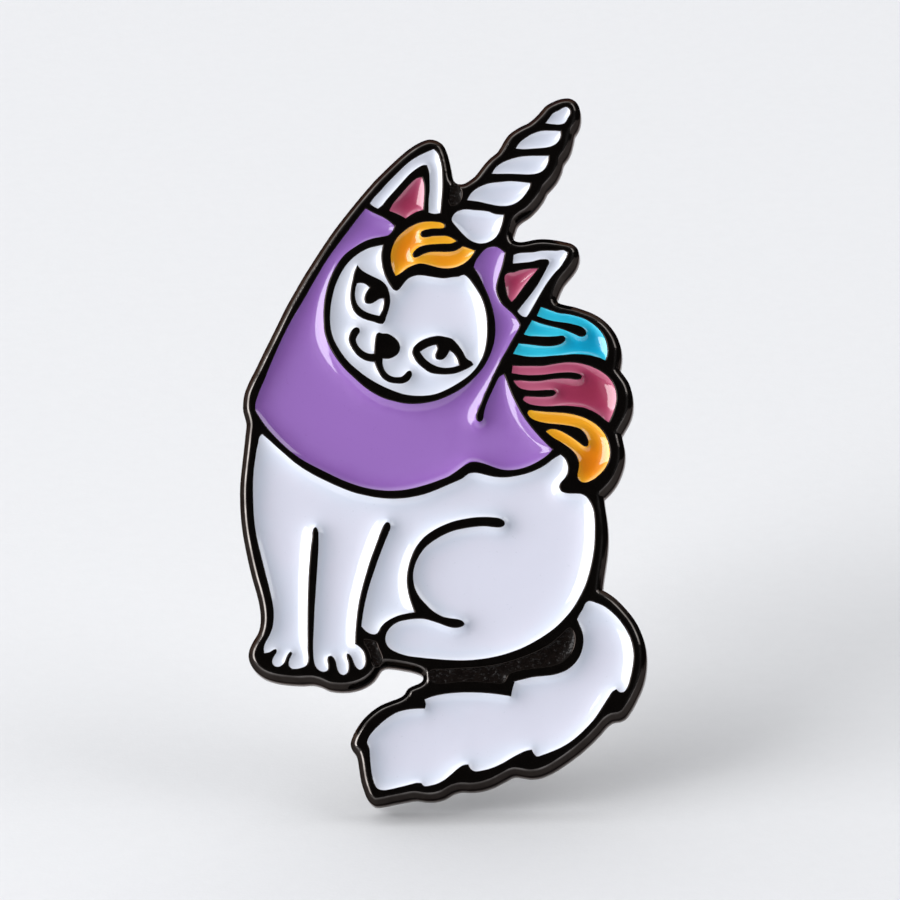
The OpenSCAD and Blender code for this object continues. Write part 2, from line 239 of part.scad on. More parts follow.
body = [[-9.13, 0.16, 1], [-8.8, -0.13], [-8.4, -0.5], [-8, -0.86], [-7.5, -1.3], [-7, -1.66],
  [-6.5, -1.96], [-6, -2.22], [-5.5, -2.46], [-5, -2.68], [-4.5, -2.87], [-4, -3], [-3.3, -3.14],
  [-2.6, -3.2], [-2, -3.18], [-1.5, -3.11], [-1, -3], [-0.5, -2.83], [0, -2.62], [0.5, -2.41],
  [0.95, -2.2], [1.25, -1.98], [1.6, -1.94], [2, -2.03], [2.5, -2.15], [3, -2.19], [3.6, -2.13],
  [4.1, -2.02], [4.6, -1.84], [5.1, -1.57], [5.5, -1.27], [5.84, -1.07, 1], [6.01, -1.22],
  [6.14, -1.47], [6.2, -1.77], [6.15, -2.06], [6, -2.3], [5.82, -2.5], [5.76, -2.7], [5.85, -2.9],
  [6.1, -3.02], [6.5, -3.05], [6.9, -3.09], [7.12, -3.22], [7.32, -3.52], [7.47, -3.92], [7.52, -4.35],
  [7.53, -5], [7.5, -5.7], [7.4, -6.4], [7.22, -7.15], [7, -7.8], [6.7, -8.4], [6.4, -8.88],
  [6, -9.36], [5.5, -9.84], [5, -10.2], [4.5, -10.5], [4, -10.76], [3.5, -10.96], [3, -11.12],
  [2.4, -11.26], [1.7, -11.36], [1, -11.4], [0.2, -11.37], [-0.6, -11.3], [-1.3, -11.22],
  [-1.9, -11.12], [-2.4, -10.94], [-2.76, -10.7], [-2.91, -10.4], [-2.88, -10.04], [-2.66, -9.7],
  [-2.3, -9.45], [-1.9, -9.35], [-1.4, -9.29], [-1, -9.3], [-0.6, -9.41], [-0.2, -9.55], [0.2, -9.7],
  [0.55, -9.77], [0.86, -9.72], [1.04, -9.59], [0.94, -9.43], [0.7, -9.33], [0.4, -9.28], [0, -9.2],
  [-0.3, -9.06], [-0.6, -8.85], [-0.9, -8.55], [-1.2, -8.2], [-1.42, -7.8], [-1.52, -7.4],
  [-1.53, -7], [-1.42, -6.5], [-1.2, -6.05], [-0.9, -5.66], [-0.5, -5.35], [0, -5.06], [0.5, -4.86],
  [1, -4.75], [1.5, -4.68], [2, -4.65], [2.5, -4.7], [2.85, -4.71], [3.03, -4.6], [3.03, -4.42],
  [2.8, -4.26], [2.5, -4.2], [2, -4.17], [1.5, -4.19], [1, -4.26], [0.5, -4.37], [0, -4.55],
  [-0.5, -4.8], [-1, -5.16], [-1.4, -5.65], [-1.66, -6.2], [-1.82, -6.8], [-1.87, -7.4],
  [-1.81, -7.9], [-1.68, -8.4], [-1.48, -8.95, 1], [-1.8, -9], [-2.2, -9.08], [-2.6, -9.24],
  [-3, -9.5], [-3.2, -9.75], [-3.32, -9.97], [-3.47, -10.04], [-3.75, -9.97], [-4.12, -9.63, 1],
  [-4.07, -9.2], [-3.99, -8.7], [-3.86, -8.1], [-3.7, -7.5], [-3.5, -6.9], [-3.3, -6.3],
  [-3.1, -5.77], [-2.92, -5.3], [-2.75, -4.9], [-2.67, -4.6], [-2.74, -4.41], [-2.88, -4.38],
  [-3.01, -4.51], [-3.15, -4.8], [-3.3, -5.2], [-3.5, -5.75], [-3.7, -6.3], [-3.88, -6.9],
  [-4.05, -7.5], [-4.2, -8.1], [-4.31, -8.7], [-4.38, -9.3], [-4.43, -9.9], [-4.45, -10.53, 1],
  [-4.24, -10.66], [-4.06, -10.86], [-3.96, -11.13], [-3.93, -11.45], [-4.02, -11.71], [-4.2, -11.82],
  [-4.37, -11.7], [-4.5, -11.45], [-4.6, -11.2], [-4.72, -11.04], [-4.85, -11], [-4.87, -11.15],
  [-4.8, -11.4], [-4.77, -11.7], [-4.83, -11.96], [-5, -12.07], [-5.19, -12], [-5.31, -11.8],
  [-5.38, -11.5], [-5.49, -11.22], [-5.65, -11.1], [-5.8, -11.16], [-5.83, -11.35], [-5.79, -11.6],
  [-5.82, -11.83], [-6, -11.9], [-6.25, -11.81], [-6.42, -11.6], [-6.5, -11.3], [-6.53, -10.9],
  [-6.53, -10.3], [-6.5, -9.6], [-6.47, -8.8], [-6.42, -8], [-6.37, -7.2], [-6.32, -6.4],
  [-6.28, -5.6], [-6.28, -5.1], [-6.32, -4.72], [-6.43, -4.58], [-6.55, -4.68], [-6.6, -5.05],
  [-6.67, -5.6], [-6.73, -6.3], [-6.78, -7], [-6.81, -7.8], [-6.83, -8.8], [-6.83, -9.8],
  [-6.82, -10.8], [-6.81, -11.4], [-6.9, -11.59], [-7.1, -11.68], [-7.38, -11.74], [-7.6, -11.72],
  [-7.74, -11.58], [-7.74, -11.35], [-7.65, -11.12], [-7.58, -10.95], [-7.67, -10.87],
  [-7.8, -11], [-7.93, -11.27], [-8.05, -11.5], [-8.25, -11.62], [-8.47, -11.58], [-8.58, -11.4],
  [-8.5, -11.12], [-8.36, -10.88], [-8.38, -10.74], [-8.5, -10.75], [-8.7, -10.87], [-8.98, -10.93, 1],
  [-9, -10.67], [-8.92, -10.4], [-8.75, -10.1], [-8.6, -9.75], [-8.52, -9.3], [-8.51, -8.9],
  [-8.57, -8.4], [-8.7, -7.8], [-8.9, -7], [-9.1, -6.2], [-9.3, -5.4], [-9.44, -4.7], [-9.52, -4],
  [-9.56, -3.2], [-9.57, -2.4], [-9.53, -1.6], [-9.45, -1], [-9.4, -0.65], [-9.32, -0.3],
  [-9.25, 0.03]];

tail = [[7.22, -8.5], [7.6, -8.59], [8, -8.77], [8.35, -9.04], [8.7, -9.4], [9, -9.82], [9.25, -10.3],
  [9.4, -10.8], [9.45, -11.3], [9.38, -11.9], [9.26, -12.45], [9.12, -12.87], [8.97, -13.07],
  [8.8, -13.09], [8.6, -12.93, 1], [8.4, -13.05], [8.2, -13.33], [7.9, -13.8], [7.5, -14.4],
  [7, -14.95], [6.5, -15.4], [6, -15.74], [5.4, -16.02], [4.9, -16.2], [4.62, -16.27], [4.5, -16.15],
  [4.38, -15.93, 1], [4.12, -15.97], [3.8, -16.1], [3.4, -16.31], [2.9, -16.6], [2.4, -16.82],
  [1.9, -16.95], [1.52, -16.98], [1.35, -16.88], [1.22, -16.64, 1], [1, -16.66], [0.7, -16.83],
  [0.4, -17.09], [0.1, -17.34], [-0.3, -17.57], [-0.7, -17.68], [-0.98, -17.7], [-1.12, -17.55, 1],
  [-1.35, -17.54], [-1.75, -17.63], [-2.2, -17.74], [-2.7, -17.85], [-3.1, -17.88], [-3.32, -17.79],
  [-3.46, -17.55], [-3.56, -17.2], [-3.64, -16.7], [-3.68, -16.2], [-3.71, -15.82], [-3.83, -15.48, 1],
  [-3.73, -15.2], [-3.5, -14.9], [-3.2, -14.6], [-2.8, -14.27], [-2.4, -14.03], [-2, -13.9],
  [-1.5, -13.83], [-0.95, -13.82, 1], [-0.9, -13.62], [-0.96, -13.36, 1], [-0.5, -13.2], [0, -13.1],
  [0.6, -13.04], [1.2, -13.03], [1.8, -13.05], [2.4, -13.1], [2.9, -13.17], [3.36, -13.25, 1],
  [3.4, -12.98], [3.54, -12.5, 1], [4, -12.39], [4.4, -12.3], [4.9, -12.25], [5.4, -12.2],
  [5.8, -12.1], [6.2, -11.91], [6.52, -11.64], [6.76, -11.3], [6.91, -10.9], [6.97, -10.45],
  [6.91, -10.03], [6.77, -9.67], [6.65, -9.4, 1], [6.77, -9.17], [6.95, -8.87], [7.08, -8.6]];

web_ear = [[0.42, 12.8], [0.6, 12.82], [0.78, 12.62], [0.88, 12.3], [0.8, 11.98], [0.6, 11.76],
  [0.38, 11.72], [0.27, 11.95], [0.28, 12.4]];
web_paw = [[-3.98, -10.33], [-3.7, -10.36], [-3.42, -10.46], [-3.3, -10.75], [-3.17, -11.05],
  [-3.1, -11.35], [-3.3, -11.6], [-3.5, -11.62], [-3.6, -11.3], [-3.68, -10.98], [-3.84, -10.66]];
web_tail = [[-0.72, -11.98], [0, -11.88], [1, -11.83], [2, -11.77], [3, -11.6], [3.9, -11.32],
  [4.7, -11], [5.4, -10.6], [5.95, -10.12], [6.28, -9.86], [6.46, -10.1], [6.5, -10.5], [6.38, -10.95],
  [6.1, -11.32], [5.7, -11.6], [5.1, -11.75], [4.4, -11.83], [3.7, -11.93], [3.2, -12.12],
  [2.95, -12.52], [2.4, -12.52], [1.6, -12.45], [0.7, -12.45], [-0.2, -12.52], [-0.7, -12.4]];

// Blocks that run from y = a to y = b with the given outline in x and z.
module slab(a, b) { translate([0, b, 0]) rotate([90, 0, 0]) linear_extrude(height = b - a) children(); }
module shape(pts) { polygon(loop(pts)); }
module enamel(pts) { slab(floor_y - enamel_depth, floor_y) shape(pts); }
module paint(pts) { slab(floor_y - web_depth, floor_y) shape(pts); }
module cell(pts) { slab(-plate_thickness - 0.2, floor_y) shape(pts); }
module face_shape() { difference() {
  shape(face); shape(eye_left_line); shape(eye_right_line); shape(muzzle); } }

// The struck plate, with every cell sunk in its face and two shallow dimples that place the posts.
module base_plate() color([0.09, 0.08, 0.08]) difference() {
  slab(-plate_thickness, 0) shape(outline);
  cell(ear_left); cell(ear_left_inner); cell(ear_right); cell(ear_right_inner);
  cell(horn_1); cell(horn_2); cell(horn_3); cell(horn_4); cell(horn_5);
  cell(hood);
  slab(-plate_thickness - 0.2, floor_y) face_shape();
  cell(eye_left); cell(eye_right); cell(forelock);
  cell(mane_teal); cell(mane_pink); cell(mane_orange); cell(body); cell(tail);
  cell(web_ear); cell(web_paw); cell(web_tail);
  for (s = [-1, 1]) at_post(s) translate([0, -dimple, 0]) rotate([-90, 0, 0])
    cylinder(r = solder_radius, h = dimple + 0.2);
}

white = [0.87, 0.87, 0.92];
pink = [0.72, 0.27, 0.42];
orange = [0.95, 0.65, 0.12];
module enamel_ear_left() color(white) enamel(ear_left);
module enamel_ear_left_inner() color(pink) enamel(ear_left_inner);
module enamel_ear_right() color(white) enamel(ear_right);
module enamel_ear_right_inner() color(pink) enamel(ear_right_inner);
module enamel_horn_1() color(white) enamel(horn_1);
module enamel_horn_2() color(white) enamel(horn_2);
module enamel_horn_3() color(white) enamel(horn_3);
module enamel_horn_4() color(white) enamel(horn_4);
module enamel_horn_5() color(white) enamel(horn_5);
module enamel_hood() color([0.6, 0.43, 0.75]) enamel(hood);
module enamel_face() color(white) slab(floor_y - enamel_depth, floor_y) face_shape();
module enamel_eye_left() color(white) enamel(eye_left);
module enamel_eye_right() color(white) enamel(eye_right);
module enamel_forelock() color(orange) enamel(forelock);
module enamel_mane_teal() color([0.1, 0.7, 0.85]) enamel(mane_teal);
module enamel_mane_pink() color(pink) enamel(mane_pink);
module enamel_mane_orange() color(orange) enamel(mane_orange);
module enamel_body() color(white) enamel(body);
module enamel_tail() color(white) enamel(tail);
module enamel_web_ear() color([0.08, 0.07, 0.07]) paint(web_ear);
module enamel_web_paw() color([0.08, 0.07, 0.07]) paint(web_paw);
module enamel_web_tail() color([0.08, 0.07, 0.07]) paint(web_tail);

// Places what is drawn about the Y axis at the upper post, s = 1, or the lower post, s = -1.
module at_post(s) { translate([-s * post_offset, 0, s * post_rise]) children(); }

// Turned about the Y axis: the profile's second number is the distance behind y.
module turned(y) { translate([0, y, 0]) rotate([-90, 0, 0]) rotate_extrude() children(); }

// A post with a groove near its end and a blunt point.
module post() color([0.75, 0.75, 0.77]) turned(0) polygon(concat(
  [[0, -dimple], [post_radius, -dimple], [post_radius, groove_start], [groove_radius, groove_start + 0.15],
   [groove_radius, groove_end - 0.1], [post_radius, groove_end], [post_radius, cone_start]],
  arc([0, post_length - 0.2], 0.2, 10, 90, 5)));

// The solder fills the dimple and climbs the foot of the post in a hollow curve.
module solder() color([0.68, 0.69, 0.7]) turned(0) polygon(concat(
  [[post_radius, -dimple], [solder_radius, -dimple], [solder_radius, 0.08]],
  [for (i = [1 : 7]) let (a = 90 * i / 8)
    [solder_radius - (solder_radius - post_radius - 0.06) * sin(a), 0.08 + 0.55 * (1 - cos(a))]],
  [[post_radius + 0.05, 0.63], [post_radius, 0.63]]));

// The dished cup lies against the cloth and its rim is rolled in over the cover.
module cup() color([0.8, 0.8, 0.8]) turned(cloth_gap) polygon(concat(
  [[clutch_radius - 0.9, 0]], arc([clutch_radius - 0.9, 0.9], 0.9, -75, 0, 5),
  arc([clutch_radius - 0.45, cover_top], 0.45, 0, 75, 5),
  [[clutch_radius - 0.9, cover_top + 0.4], [clutch_radius - 0.9, cover_top],
   [clutch_radius - cup_sheet, cover_top], [clutch_radius - cup_sheet, 0.95]],
  arc([clutch_radius - 0.95, 0.95], 0.55, -15, -90, 4),
  [[0.95, cup_sheet], [0.85, cup_sheet - 0.1], [0.85, 0.1], [0.95, 0]]));

// The cover holds the two spring leaves down. It has a round hole for the post and two windows.
module cover() color([0.78, 0.78, 0.79]) difference() {
  turned(cloth_gap) polygon([[1.5, cover_top - 0.3], [4.4, cover_top - 0.3],
    [4.4, cup_sheet + 0.001], [4.7, cup_sheet + 0.001], [4.7, cover_top - 0.45], [4.8, cover_top - 0.3],
    [clutch_radius - cup_sheet - 0.05, cover_top - 0.3], [clutch_radius - cup_sheet - 0.05, cover_top],
    [1.5, cover_top]]);
  for (s = [-1, 1]) translate([s * 3.4 - 0.6, cloth_gap + 1, -wing_width / 2 - 0.15])
    cube([1.2, 1.2, wing_width + 0.3]);
}

// One spring leaf: a jaw that grips the post, a bend through the window and a thumb wing.
wing_path = concat([[-0.1, 1.05], [-2.85, 1.05]], arc([-2.9, 1.6], 0.55, -75, -180, 6),
  [[-3.42, 2], [-3.4, 2.5], [-3.5, 3], [-3.75, 3.5], [-4.15, 3.95], [-4.7, 4.35], [-5.3, 4.62], [-5.9, 4.75]]);
module wing() color([0.82, 0.82, 0.83]) difference() {
  intersection() {
    translate([0, cloth_gap, 0]) linear_extrude(height = wing_width, center = true)
      polygon(strip(wing_path, strip_thickness));
    translate([0, cloth_gap + 6, 0]) rotate([90, 0, 0]) linear_extrude(height = 6)
      polygon(loop([[0, 1.1, 1], [-1.4, 1.3], [-2.4, 1.9], [-3, wing_width / 2, 1],
        [-4.6, wing_width / 2], [-5.5, wing_width / 2 - 0.5], [-5.95, wing_width / 2 - 1.6], [-6.02, 0],
        [-5.95, 1.6 - wing_width / 2], [-5.5, 0.5 - wing_width / 2], [-4.6, -wing_width / 2],
        [-3, -wing_width / 2, 1], [-2.4, -1.9], [-1.4, -1.3], [0, -1.1, 1]]));
  }
  translate([0, cloth_gap, 0]) rotate([-90, 0, 0]) cylinder(r = jaw_radius, h = 3);
}

module post_upper() at_post(1) post();
module post_lower() at_post(-1) post();
module solder_upper() at_post(1) solder();
module solder_lower() at_post(-1) solder();
module upper_cup() at_post(1) cup();
module upper_cover() at_post(1) cover();
module upper_wing_left() at_post(1) wing();
module upper_wing_right() at_post(1) mirror([1, 0, 0]) wing();
module lower_cup() at_post(-1) cup();
module lower_cover() at_post(-1) cover();
module lower_wing_left() at_post(-1) wing();
module lower_wing_right() at_post(-1) mirror([1, 0, 0]) wing();

base_plate();
enamel_ear_left();
enamel_ear_left_inner();
enamel_ear_right();
enamel_ear_right_inner();
enamel_horn_1();
enamel_horn_2();
enamel_horn_3();
enamel_horn_4();
enamel_horn_5();
enamel_hood();
enamel_face();
enamel_eye_left();
enamel_eye_right();
enamel_forelock();
enamel_mane_teal();
enamel_mane_pink();
enamel_mane_orange();
enamel_body();
enamel_tail();
enamel_web_ear();
enamel_web_paw();
enamel_web_tail();
post_upper();
post_lower();
solder_upper();
solder_lower();
upper_cup();
upper_cover();
upper_wing_left();
upper_wing_right();
lower_cup();
lower_cover();
lower_wing_left();
lower_wing_right();
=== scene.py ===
import math

import bpy
import numpy as np
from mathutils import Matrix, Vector, geometry, kdtree, noise

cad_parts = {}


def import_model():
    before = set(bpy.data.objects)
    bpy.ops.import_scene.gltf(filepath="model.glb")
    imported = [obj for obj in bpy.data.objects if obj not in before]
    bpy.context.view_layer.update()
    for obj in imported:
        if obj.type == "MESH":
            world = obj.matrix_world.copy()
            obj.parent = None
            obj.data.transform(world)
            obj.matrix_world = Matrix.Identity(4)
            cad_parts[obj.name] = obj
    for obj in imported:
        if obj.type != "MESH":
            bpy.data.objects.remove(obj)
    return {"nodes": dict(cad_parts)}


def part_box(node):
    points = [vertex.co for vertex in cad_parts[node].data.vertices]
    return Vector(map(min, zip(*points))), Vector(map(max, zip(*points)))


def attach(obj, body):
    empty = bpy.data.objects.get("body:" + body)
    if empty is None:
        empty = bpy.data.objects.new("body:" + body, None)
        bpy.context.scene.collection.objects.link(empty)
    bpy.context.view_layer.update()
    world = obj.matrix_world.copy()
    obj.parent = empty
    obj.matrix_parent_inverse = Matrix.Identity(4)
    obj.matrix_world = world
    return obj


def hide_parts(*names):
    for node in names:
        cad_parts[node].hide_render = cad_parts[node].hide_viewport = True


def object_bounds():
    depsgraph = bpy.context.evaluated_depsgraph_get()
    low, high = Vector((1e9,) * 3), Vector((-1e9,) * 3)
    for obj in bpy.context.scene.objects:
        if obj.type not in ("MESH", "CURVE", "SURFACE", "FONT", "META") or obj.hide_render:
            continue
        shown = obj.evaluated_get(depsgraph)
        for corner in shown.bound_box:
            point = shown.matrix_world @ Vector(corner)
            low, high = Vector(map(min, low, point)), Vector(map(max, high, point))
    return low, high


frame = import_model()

cad_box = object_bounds()
scene = bpy.context.scene
nodes = frame["nodes"]

# Sizes in millimetres, in the CAD model's frame: the face looks along -Y and the back lies on y = 0.
MM = 1000                 # millimetres in a metre
TOP = round(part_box("base_plate")[0].y * MM, 3)      # tops of the raised lines
FLOOR = round(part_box("enamel_hood")[1].y * MM, 3)   # floor of the cells
EDGE = TOP + 0.04         # where enamel meets a line
BEVEL = 0.28              # width of the outer bevel
BEVEL_DROP = 0.32         # and its depth
BEVEL_ROUND = 0.08        # half width of the rounding along its top
SHINE = 0.045             # half width of the painted highlight, a lighter metal colour, along that rounding
OUTER_ROUND = 0.03        # rounding at the foot of the bevel
LINE_ROUND = 0.07         # rounding of a line's top edge
BACK_ROUND = 0.09         # rounding of the back's edge
ROUND_SIDES = 96          # sides of the round dimples in the back

# Distances from an outline at which a sheet has places, where its shape turns.
SKIN_RINGS = (0.045, 0.1, 0.165)
LINE_RINGS = (0.013, 0.035, 0.07, 0.115)
BEVEL_RINGS = (0.008, 0.03, 0.1, 0.17, 0.2, 0.22, 0.24, 0.26, 0.28, 0.3, 0.32, 0.34, 0.37)
BACK_RINGS = (0.012, 0.03, 0.055, BACK_ROUND, 0.2)
KEPT = 0.96               # a ring's place stays where no outline is nearer than this part of its distance

# How far the lattice between the rings stays from the outlines.
SKIN_CLEAR = 0.22
TOP_CLEAR = 0.15 * KEPT
BACK_CLEAR = 0.35 * KEPT


# ---------------------------------------------------------------- outlines

def outlines(name, level):
    """The outlines of a node's flat faces at y = level, with the face on the left, as points [x, z]."""
    me = nodes[name].data
    me.calc_loop_triangles()
    co = np.empty(3 * len(me.vertices))
    me.vertices.foreach_get("co", co)
    # Triangles share a place when it is the same to a thousandth of a millimetre.
    microns = np.round(co.reshape(-1, 3) * 1e6).astype(np.int64)
    spots, index = np.unique(microns, axis=0, return_inverse=True)
    spots = spots / 1000.0
    tri = np.empty(3 * len(me.loop_triangles), np.int32)
    me.loop_triangles.foreach_get("vertices", tri)
    tri = index.reshape(-1)[tri].reshape(-1, 3)
    tri = tri[(np.abs(spots[tri][:, :, 1] - level) < 0.01).all(1)]
    edge = np.vstack([tri[:, [0, 1]], tri[:, [1, 2]], tri[:, [2, 0]]]).astype(np.int64)
    rim = edge[~np.isin(edge[:, 0] * len(spots) + edge[:, 1], edge[:, 1] * len(spots) + edge[:, 0])]
    following = dict(rim.tolist())
    loops = []
    while following:
        start, b = following.popitem()
        loop = [start]
        while b != start:
            loop.append(b)
            b = following.pop(b)
        loops.append(spots[loop][:, [0, 2]])
    return sorted(loops, key=lambda p: -abs(area(p)))


def area(p):
    """The area inside an outline, negative where it runs clockwise."""
    q = np.roll(p, -1, 0)
    return 0.5 * float((p[:, 0] * q[:, 1] - q[:, 0] * p[:, 1]).sum())


def smooth(loop, step=0.07, corner=42):
    """The outline on a smooth curve through its points. Turns of more than corner degrees stay sharp."""
    chord = np.roll(loop, -1, 0) - loop
    size = np.linalg.norm(chord, axis=1)
    unit = chord / size[:, None]
    last, last_size = np.roll(unit, 1, 0), np.roll(size, 1)
    turn = np.degrees(np.arccos(np.clip((last * unit).sum(1), -1, 1)))
    sharp = turn > corner
    slope = (last * size[:, None] + unit * last_size[:, None]) / (size + last_size)[:, None]
    out, n = [], len(loop)
    for i in range(n):
        j = (i + 1) % n
        u = unit[i] if sharp[i] else slope[i]
        v = unit[i] if sharp[j] else slope[j]
        # Beside a sharp corner the curve runs out freely.
        if sharp[i] and not sharp[j]:
            u = 1.5 * unit[i] - 0.5 * v
        if sharp[j] and not sharp[i]:
            v = 1.5 * unit[i] - 0.5 * u
        k = max(1, math.ceil(size[i] / step))
        t = (np.arange(k) / k)[:, None]
        out.append(loop[i] * (2 * t**3 - 3 * t**2 + 1) + loop[j] * (3 * t**2 - 2 * t**3)
                   + size[i] * (u * (t**3 - 2 * t**2 + t) + v * (t**3 - t**2)))
    return np.vstack(out)


def lattice(loops, h):
    """A triangular lattice of points inside the outlines, h apart."""
    nudge = 1.37e-5    # keeps the rows off the corners of the outlines
    a = np.vstack(loops)
    b = np.vstack([np.roll(p, -1, 0) for p in loops])
    lo, hi = a.min(0), a.max(0)
    out = []
    for k, z in enumerate(np.arange(math.floor(lo[1] / h) * h, hi[1], h * math.sqrt(0.75))):
        z += nudge
        cut = (a[:, 1] <= z) != (b[:, 1] <= z)
        if cut.any():
            p, q = a[cut], b[cut]
            xs = np.sort(p[:, 0] + (z - p[:, 1]) * (q[:, 0] - p[:, 0]) / (q[:, 1] - p[:, 1]))
            g = np.arange(math.floor(lo[0] / h) * h + (k % 2) * h / 2, hi[0], h)
            g = g[np.searchsorted(xs, g) % 2 == 1]
            out.append(np.column_stack([g, np.full(len(g), z)]))
    return np.vstack(out)


class Away:
    """Distance from points to a set of outlines, measured to four places on each side of an outline."""

    def __init__(self, loops):
        spots = []
        for p in loops:
            d = np.roll(p, -1, 0) - p
            spots += [p + d * j / 4 for j in range(4)]
        spots = np.vstack(spots)
        self.tree = kdtree.KDTree(len(spots))
        for i, (x, z) in enumerate(spots.tolist()):
            self.tree.insert((x, z, 0), i)
        self.tree.balance()

    def __call__(self, points):
        find = self.tree.find
        return np.array([find((x, z, 0))[2] for x, z in points.tolist()])


SHARP_TURN = 0.94         # cosine of the turn beyond which a corner gets more places round it
MOST_STEPS = 600          # steps that the skin's shape may take to settle
CLOSE_ENOUGH = 1e-12      # share of the first error at which it has settled


def ring(loop, d):
    """Points at distance d to the left of an outline, fanned out round its corners."""
    unit = np.roll(loop, -1, 0) - loop
    unit /= np.linalg.norm(unit, axis=1)[:, None]
    last = np.roll(unit, 1, 0)
    mid = unit + last
    mid /= np.linalg.norm(mid, axis=1)[:, None] + 1e-12
    bend = (last * unit).sum(1) < SHARP_TURN
    rows = [(loop, mid), (loop[bend], unit[bend]), (loop[bend], last[bend])]
    return np.vstack([p + d * np.column_stack([-t[:, 1], t[:, 0]]) for p, t in rows])


def filling(groups, spacing, clear, away):
    """Places inside outlines: rings beside them, and a lattice that stays clear of them.

    groups pairs outlines with the distances of their rings, and away measures to the nearest outline.
    """
    rings = [(ring(p, d), d) for loops, steps in groups for p in loops for d in steps]
    points = np.vstack([q for q, _ in rings])
    wanted = np.concatenate([np.full(len(q), d) for q, d in rings])
    grid = lattice([p for loops, _ in groups for p in loops], spacing)
    return np.vstack([points[away(points) > wanted * KEPT], grid[away(grid) > clear]])


def triangulate(loops, points=()):
    """Triangles that fill the outlines and use the points.

    Returns places, triangles and which places are on the outlines.
    """
    count = sum(len(p) for p in loops)
    spots = np.vstack(loops + ([points] if len(points) else []))
    faces, k = [], 0
    for p in loops:
        ids = list(range(k, k + len(p)))
        faces.append(ids if area(p) > 0 else ids[::-1])
        k += len(p)
    # A triangle is kept when an odd number of outlines hold it, so that outlines inside others are holes.
    out = geometry.delaunay_2d_cdt([Vector(p) for p in spots.tolist()], [], faces, 0, 1e-6)
    place = np.array([tuple(v) for v in out[0]])
    tri = np.array([f for f, held in zip(out[2], out[5]) if len(held) % 2])
    rim = np.array([not ids or min(ids) < count for ids in out[3]])
    p, q, r = (place[tri[:, i]] for i in range(3))
    turn = (q[:, 0] - p[:, 0]) * (r[:, 1] - p[:, 1]) - (r[:, 0] - p[:, 0]) * (q[:, 1] - p[:, 1])
    tri[turn < 0] = tri[turn < 0][:, ::-1]
    return place, tri, rim


def rims(tri):
    """The open borders of a sheet of triangles, as closed lists of places."""
    n = int(tri.max()) + 1
    edge = np.vstack([tri[:, [0, 1]], tri[:, [1, 2]], tri[:, [2, 0]]]).astype(np.int64)
    rim = edge[~np.isin(edge[:, 0] * n + edge[:, 1], edge[:, 1] * n + edge[:, 0])]
    following, loops = {}, []
    for a, b in rim.tolist():
        following.setdefault(a, []).append(b)
    while following:
        start = next(iter(following))
        loop, b = [start], following[start].pop()
        if not following[start]:
            del following[start]
        while b != start:
            loop.append(b)
            c = following[b].pop()
            if not following[b]:
                del following[b]
            b = c
        loops.append(loop)
    return loops


def meniscus(place, tri, rim, reach):
    """How much of its edge's rise a liquid skin keeps at each place.

    It is 1 on the outlines and falls off over the reach. It solves x = reach * reach * (the curvature of x),
    by conjugate gradients on the triangles.
    """
    n = len(place)
    i, j, w = [], [], []
    mass = np.zeros(n)
    for k in range(3):
        o, a, b = tri[:, k], tri[:, (k + 1) % 3], tri[:, (k + 2) % 3]
        u, v = place[a] - place[o], place[b] - place[o]
        cross = np.abs(u[:, 0] * v[:, 1] - u[:, 1] * v[:, 0]) + 1e-9
        i.append(a)
        j.append(b)
        w.append((u * v).sum(1) / cross / 2)
        mass += np.bincount(o, cross / 6, n)
    i, j, w = np.concatenate(i), np.concatenate(j), np.concatenate(w) * reach**2

    def apply(x):
        flow = w * (x[i] - x[j])
        return mass * x + np.bincount(i, flow, n) - np.bincount(j, flow, n)

    free = ~rim
    diag = np.maximum(mass + np.bincount(i, w, n) + np.bincount(j, w, n), 1e-9)
    x = rim.astype(float)
    r = -apply(x) * free
    z = r / diag
    p, rz = z.copy(), float(r @ z)
    first = rz
    for _ in range(MOST_STEPS):
        if rz < CLOSE_ENOUGH * first:
            break
        ap = apply(p) * free
        step = rz / float(p @ ap)
        x += step * p
        r -= step * ap
        z = r / diag * free
        new = float(r @ z)
        p = z + new / rz * p
        rz = new
    return x


# ---------------------------------------------------------------- solids

